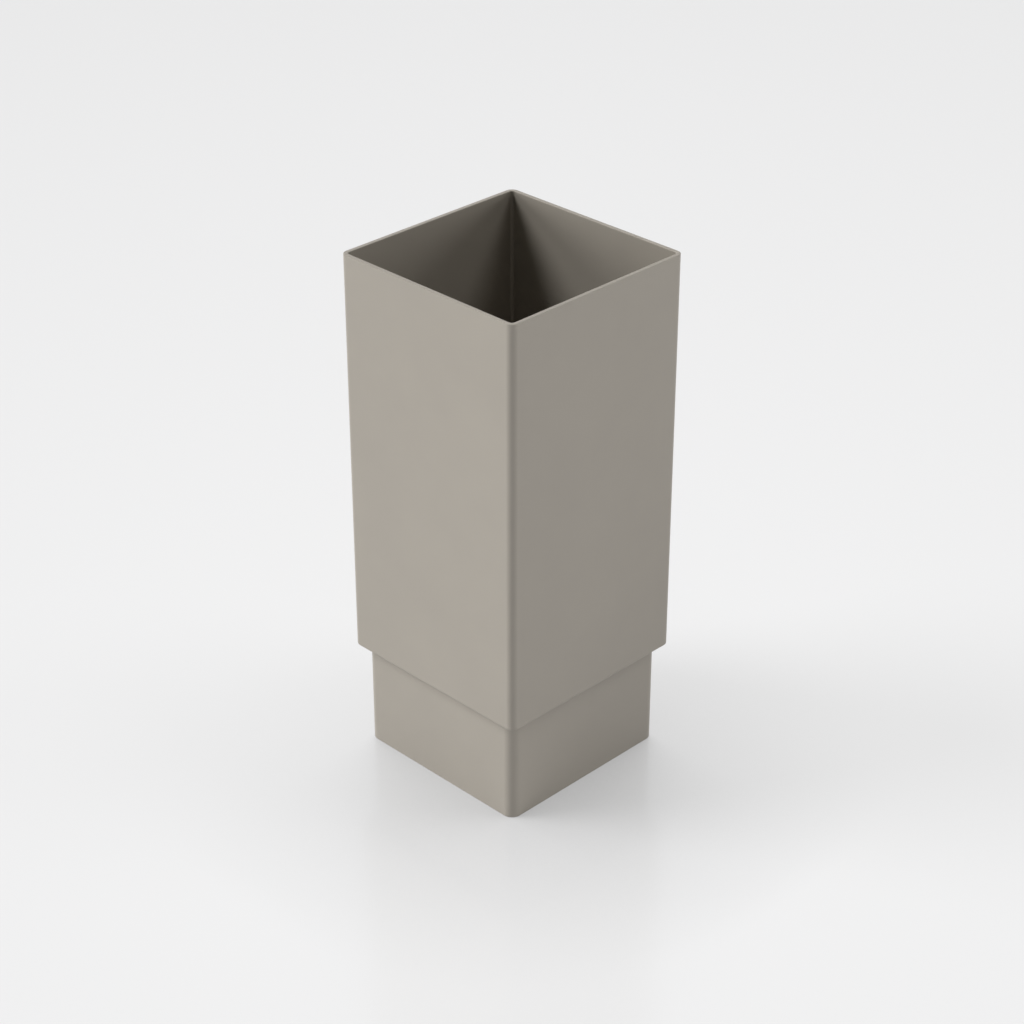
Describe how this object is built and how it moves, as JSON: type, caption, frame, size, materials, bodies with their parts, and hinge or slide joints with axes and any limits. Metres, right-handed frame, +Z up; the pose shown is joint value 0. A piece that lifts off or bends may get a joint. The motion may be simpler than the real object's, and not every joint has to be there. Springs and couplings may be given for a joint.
{
  "type": "square downpipe",
  "caption": "Short square rainwater downpipe, open at both ends, with its lower end stepped in to a smaller square spigot that drops into the pipe below.",
  "frame": {"origin": "centre of the spigot's lower rim, the end that the pipe stands on", "axes": "+Z up the pipe towards the open socket end, X and Y square to the four flat sides"},
  "size_m": [0.1, 0.1, 0.24],
  "materials": {
    "powder_coated_aluminium": "satin"
  },
  "bodies": {
    "root": {"downpipe": "powder_coated_aluminium"}
  },
  "joints": []
}
